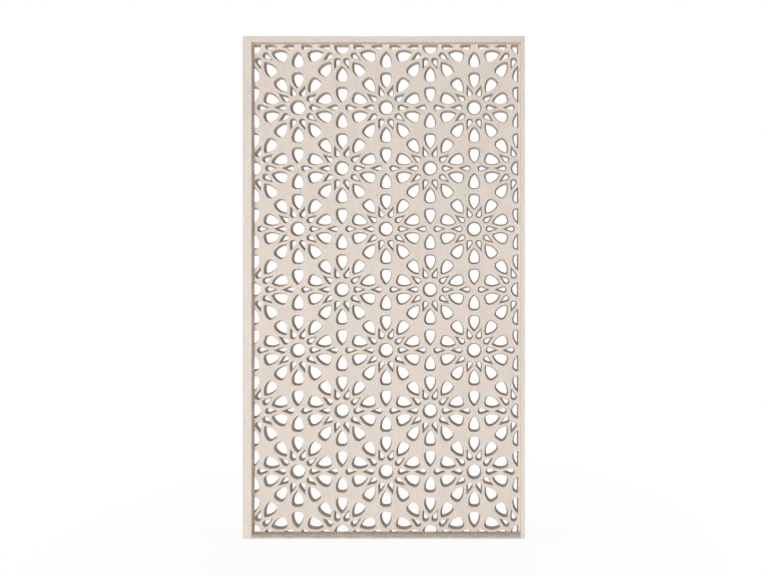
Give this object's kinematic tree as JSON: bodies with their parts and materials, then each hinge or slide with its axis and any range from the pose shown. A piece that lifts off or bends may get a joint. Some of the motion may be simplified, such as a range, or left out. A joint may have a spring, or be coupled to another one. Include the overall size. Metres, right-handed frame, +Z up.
{
  "type": "concrete jali panel",
  "caption": "Tall pierced concrete screen panel of cast rosette tiles, pinned and mortared edge to edge behind the lip of a slim raised border, for an opening or a partition.",
  "frame": {"origin": "middle of the underside of the border", "axes": "+Z up, +X to the right seen from the front, front face towards -Y"},
  "size_m": [1.2, 0.087, 2.1371],
  "materials": {
    "tile_concrete": "matte cast concrete",
    "border_concrete": "matte cast concrete",
    "mortar": "matte",
    "stainless_steel": "satin"
  },
  "bodies": {
    "root": {"corner_dowels": "stainless_steel", "corner_joints": "mortar", "fixing_sockets": "stainless_steel", "head": "border_concrete", "head_bars": "stainless_steel", "head_bedding": "mortar", "head_edge_pins": "stainless_steel", "jali_tile_row1_col1": "tile_concrete", "jali_tile_row1_col2": "tile_concrete", "jali_tile_row1_col3": "tile_concrete", "jali_tile_row2_col1": "tile_concrete", "jali_tile_row2_col2": "tile_concrete", "jali_tile_row2_col3": "tile_concrete", "jali_tile_row3_col1": "tile_concrete", "jali_tile_row3_col2": "tile_concrete", "jali_tile_row3_col3": "tile_concrete", "jali_tile_row4_col1": "tile_concrete", "jali_tile_row4_col2": "tile_concrete", "jali_tile_row4_col3": "tile_concrete", "left_bedding": "mortar", "left_edge_pins": "stainless_steel", "left_jamb": "border_concrete", "left_jamb_bars": "stainless_steel", "level_tile_joints": "mortar", "level_tile_pins": "stainless_steel", "right_bedding": "mortar", "right_edge_pins": "stainless_steel", "right_jamb": "border_concrete", "right_jamb_bars": "stainless_steel", "sill": "border_concrete", "sill_bars": "stainless_steel", "sill_bedding": "mortar", "socket_cross_pins": "stainless_steel", "upright_tile_joints": "mortar", "upright_tile_pins": "stainless_steel"}
  },
  "joints": []
}
